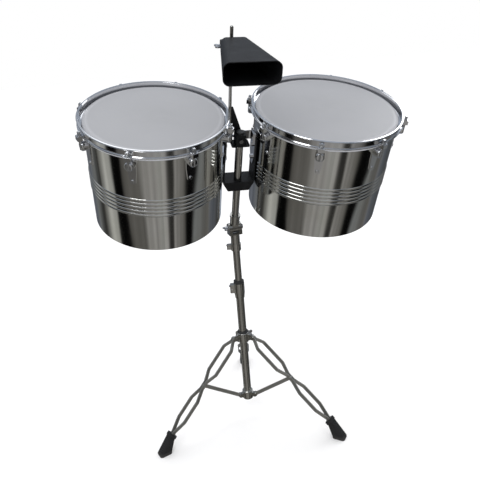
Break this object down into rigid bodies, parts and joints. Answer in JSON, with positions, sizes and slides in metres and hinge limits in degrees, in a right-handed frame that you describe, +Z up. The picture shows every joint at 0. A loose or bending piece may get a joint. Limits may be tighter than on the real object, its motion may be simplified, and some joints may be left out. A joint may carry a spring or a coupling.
{
  "type": "timbales",
  "caption": "Pair of metal-shelled timbales on a folding double-braced tripod stand, tilted towards the player, with a cowbell on its own post.",
  "frame": {"origin": "on the floor, under the middle of the bounding box", "axes": "+Z up along the stand's column, +X to the right along the tilter hinge, -Y the side that the drums lean towards"},
  "size_m": [0.8077, 0.6674, 1.1615],
  "materials": {
    "shell_chrome": "mirror polished plated steel",
    "chrome": "bright chrome",
    "stand_chrome": "duller plated steel tube",
    "leg_steel": "plated strip with fine scratches",
    "black_paint": "satin black coating",
    "black_nylon": "moulded",
    "rubber": "ribbed",
    "drum_film": "smooth white film"
  },
  "bodies": {
    "base": {"lower_tube": "stand_chrome", "base_hub": "stand_chrome", "hub_pins": "stand_chrome", "height_clamp": "stand_chrome", "height_clamp_bushing": "black_nylon"},
    "height_wing": {"height_wing_bolt": "chrome"},
    "collar": {"leg_collar": "stand_chrome", "leg_collar_bushing": "black_nylon", "leg_collar_pins": "stand_chrome"},
    "collar_wing": {"leg_collar_wing_bolt": "chrome"},
    "mast": {"middle_tube": "stand_chrome"},
    "swivel": {"tilter_sleeve": "stand_chrome", "tilter_base": "stand_chrome"},
    "swivel_wing": {"swivel_wing_screw": "chrome"},
    "tilt_wing": {"tilter_wing_screw": "chrome"},
    "drums": {"tilter_head": "stand_chrome", "upper_tube": "stand_chrome", "upper_tube_cap": "black_nylon", "cradle": "black_paint", "cradle_collar": "black_paint", "top_clamp": "black_paint", "top_clamp_bolt": "chrome", "cross_tie": "chrome", "post_holder": "black_paint", "left_shell": "shell_chrome", "left_head": "drum_film", "left_counter_hoop": "chrome", "left_lugs": "chrome", "left_claws": "chrome", "left_tension_rods": "chrome", "left_lug_screws": "chrome", "left_mount_plate": "chrome", "left_mount_bolts": "chrome", "right_shell": "shell_chrome", "right_head": "drum_film", "right_counter_hoop": "chrome", "right_lugs": "chrome", "right_claws": "chrome", "right_tension_rods": "chrome", "right_lug_screws": "chrome", "right_mount_plate": "chrome", "right_mount_bolts": "chrome"},
    "post_wing": {"post_wing_bolt": "chrome"},
    "post": {"cowbell_post": "stand_chrome"},
    "bell": {"cowbell_clamp": "black_paint", "cowbell_eye_bolt": "chrome", "cowbell": "black_paint"},
    "bell_wing": {"cowbell_wing_nut": "chrome"},
    "leg_left": {"leg_left": "leg_steel", "foot_left": "rubber"},
    "stay_left": {"stay_left": "leg_steel"},
    "leg_right": {"leg_right": "leg_steel", "foot_right": "rubber"},
    "stay_right": {"stay_right": "leg_steel"},
    "leg_rear": {"leg_rear": "leg_steel", "foot_rear": "rubber"},
    "stay_rear": {"stay_rear": "leg_steel"}
  },
  "joints": [
    {"name": "collar_slide", "type": "slide", "parent": "base", "child": "collar", "axis": [0, 0, 1], "range_m": [0, 0.105]},
    {"name": "leg_left_hinge", "type": "hinge", "parent": "collar", "child": "leg_left", "pos_m": [-0.04649, 0.01498, 0.286], "axis": [0.23, -0.9732, 0], "range_deg": [0, 35.48]},
    {"name": "stay_left_hinge", "type": "hinge", "parent": "base", "child": "stay_left", "pos_m": [-0.04065, 0.01636, 0.08], "axis": [-0.23, 0.9732, 0], "range_deg": [0, 40.31]},
    {"name": "leg_right_hinge", "type": "hinge", "parent": "collar", "child": "leg_right", "pos_m": [0.00992, -0.00194, 0.286], "axis": [0.7278, 0.6858, 0], "range_deg": [0, 35.48]},
    {"name": "stay_right_hinge", "type": "hinge", "parent": "base", "child": "stay_right", "pos_m": [0.0058, 0.00242, 0.08], "axis": [-0.7278, -0.6858, 0], "range_deg": [0, 40.31]},
    {"name": "leg_rear_hinge", "type": "hinge", "parent": "collar", "child": "leg_rear", "pos_m": [-0.00363, 0.05537, 0.286], "axis": [-0.9578, 0.2874, 0], "range_deg": [0, 35.48]},
    {"name": "stay_rear_hinge", "type": "hinge", "parent": "base", "child": "stay_rear", "pos_m": [-0.00535, 0.04962, 0.08], "axis": [0.9578, -0.2874, 0], "range_deg": [0, 40.31]},
    {"name": "collar_wing_turn", "type": "hinge", "parent": "collar", "child": "collar_wing", "pos_m": [0.00859, 0.028, 0.2835], "axis": [0.9732, 0.23, 0], "continuous": true},
    {"name": "height_wing_turn", "type": "hinge", "parent": "base", "child": "height_wing", "pos_m": [-0.03053, 0.03861, 0.448], "axis": [0.342, 0.9397, 0], "continuous": true},
    {"name": "height_slide", "type": "slide", "parent": "base", "child": "mast", "axis": [0, 0, 1], "range_m": [-0.085, 0.1]},
    {"name": "swivel_turn", "type": "hinge", "parent": "mast", "child": "swivel", "pos_m": [-0.0134, 0.0228, 0.6], "axis": [0, 0, 1], "range_deg": [-180, 180]},
    {"name": "swivel_wing_turn", "type": "hinge", "parent": "swivel", "child": "swivel_wing", "pos_m": [-0.0298, 0.03622, 0.58], "axis": [0.342, 0.9397, 0], "continuous": true},
    {"name": "drum_tilt", "type": "hinge", "parent": "swivel", "child": "drums", "pos_m": [-0.0134, 0.0228, 0.638], "axis": [1, 0, 0], "range_deg": [-36.75, 13.25]},
    {"name": "tilt_wing_turn", "type": "hinge", "parent": "swivel", "child": "tilt_wing", "pos_m": [-0.0134, 0.0228, 0.638], "axis": [-1, 0, 0], "continuous": true},
    {"name": "post_wing_turn", "type": "hinge", "parent": "drums", "child": "post_wing", "pos_m": [-0.03554, -0.07723, 0.91306], "axis": [0, -0.9511, -0.309], "continuous": true},
    {"name": "post_turn", "type": "hinge", "parent": "drums", "child": "post", "pos_m": [-0.03554, -0.072, 0.92317], "axis": [0, -0.309, 0.9511], "range_deg": [-180, 180]},
    {"name": "bell_slide", "type": "slide", "parent": "post", "child": "bell", "axis": [0, -0.309, 0.9511], "range_m": [-0.1, 0.03]},
    {"name": "bell_wing_turn", "type": "hinge", "parent": "bell", "child": "bell_wing", "pos_m": [-0.0645, -0.13996, 1.12085], "axis": [-0.9905, 0.1307, 0.0425], "continuous": true}
  ],
  "couplings": [
    {"joint": "leg_left_hinge", "follows": "collar_slide", "rad_per_m": 5.8892},
    {"joint": "stay_left_hinge", "follows": "collar_slide", "rad_per_m": 6.6923},
    {"joint": "leg_right_hinge", "follows": "collar_slide", "rad_per_m": 5.8892},
    {"joint": "stay_right_hinge", "follows": "collar_slide", "rad_per_m": 6.6923},
    {"joint": "leg_rear_hinge", "follows": "collar_slide", "rad_per_m": 5.8892},
    {"joint": "stay_rear_hinge", "follows": "collar_slide", "rad_per_m": 6.6923}
  ]
}
